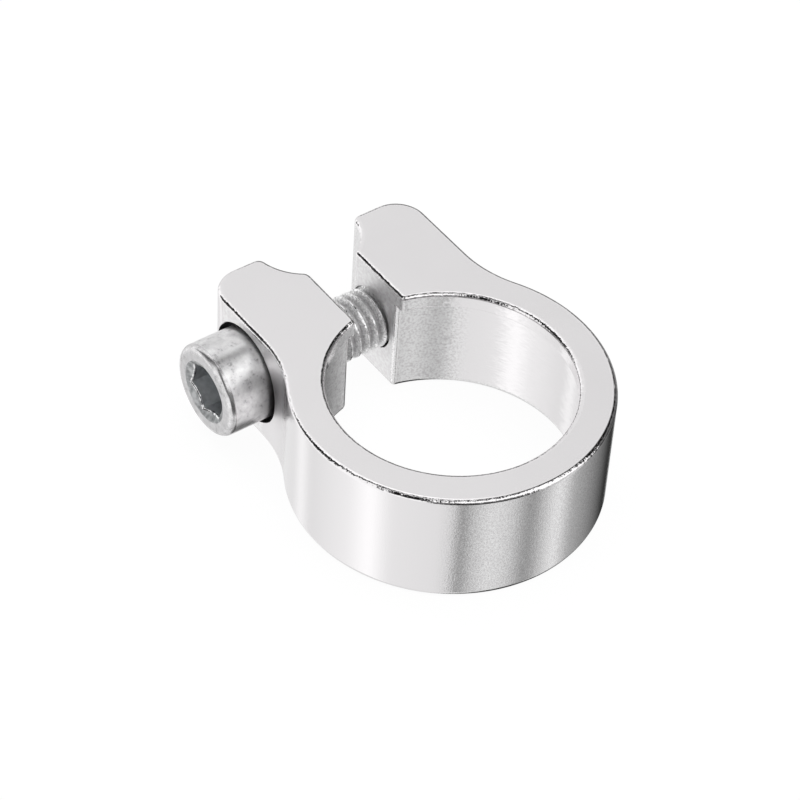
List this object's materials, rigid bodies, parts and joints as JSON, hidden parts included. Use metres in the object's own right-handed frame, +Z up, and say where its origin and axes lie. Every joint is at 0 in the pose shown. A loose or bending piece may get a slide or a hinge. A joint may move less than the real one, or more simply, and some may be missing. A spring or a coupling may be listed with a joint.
{
  "type": "seatpost clamp",
  "caption": "Split ring clamp with an inner top lip and ears drawn together by a socket head bolt, made to grip a bicycle seat tube and hold its seat post.",
  "frame": {"origin": "on the axis of the gripping bore, at the band's flat lower face", "axes": "+Z up along the bore, towards the lip; the ears reach out along -X; the bolt lies along Y with its head at -Y"},
  "size_m": [0.049, 0.0398, 0.0158],
  "materials": {
    "polished_aluminium": "polished, with satin turned walls",
    "zinc_plated_steel": "satin zinc plating, lightly mottled"
  },
  "bodies": {
    "band": {"clamp_band": "polished_aluminium"},
    "bolt": {"clamp_bolt": "zinc_plated_steel"}
  },
  "joints": [
    {"name": "bolt_turn", "type": "hinge", "parent": "band", "child": "bolt", "pos_m": [-0.0208, 0, 0.0079], "axis": [0, 1, 0], "range_deg": [-2550, 270]}
  ]
}
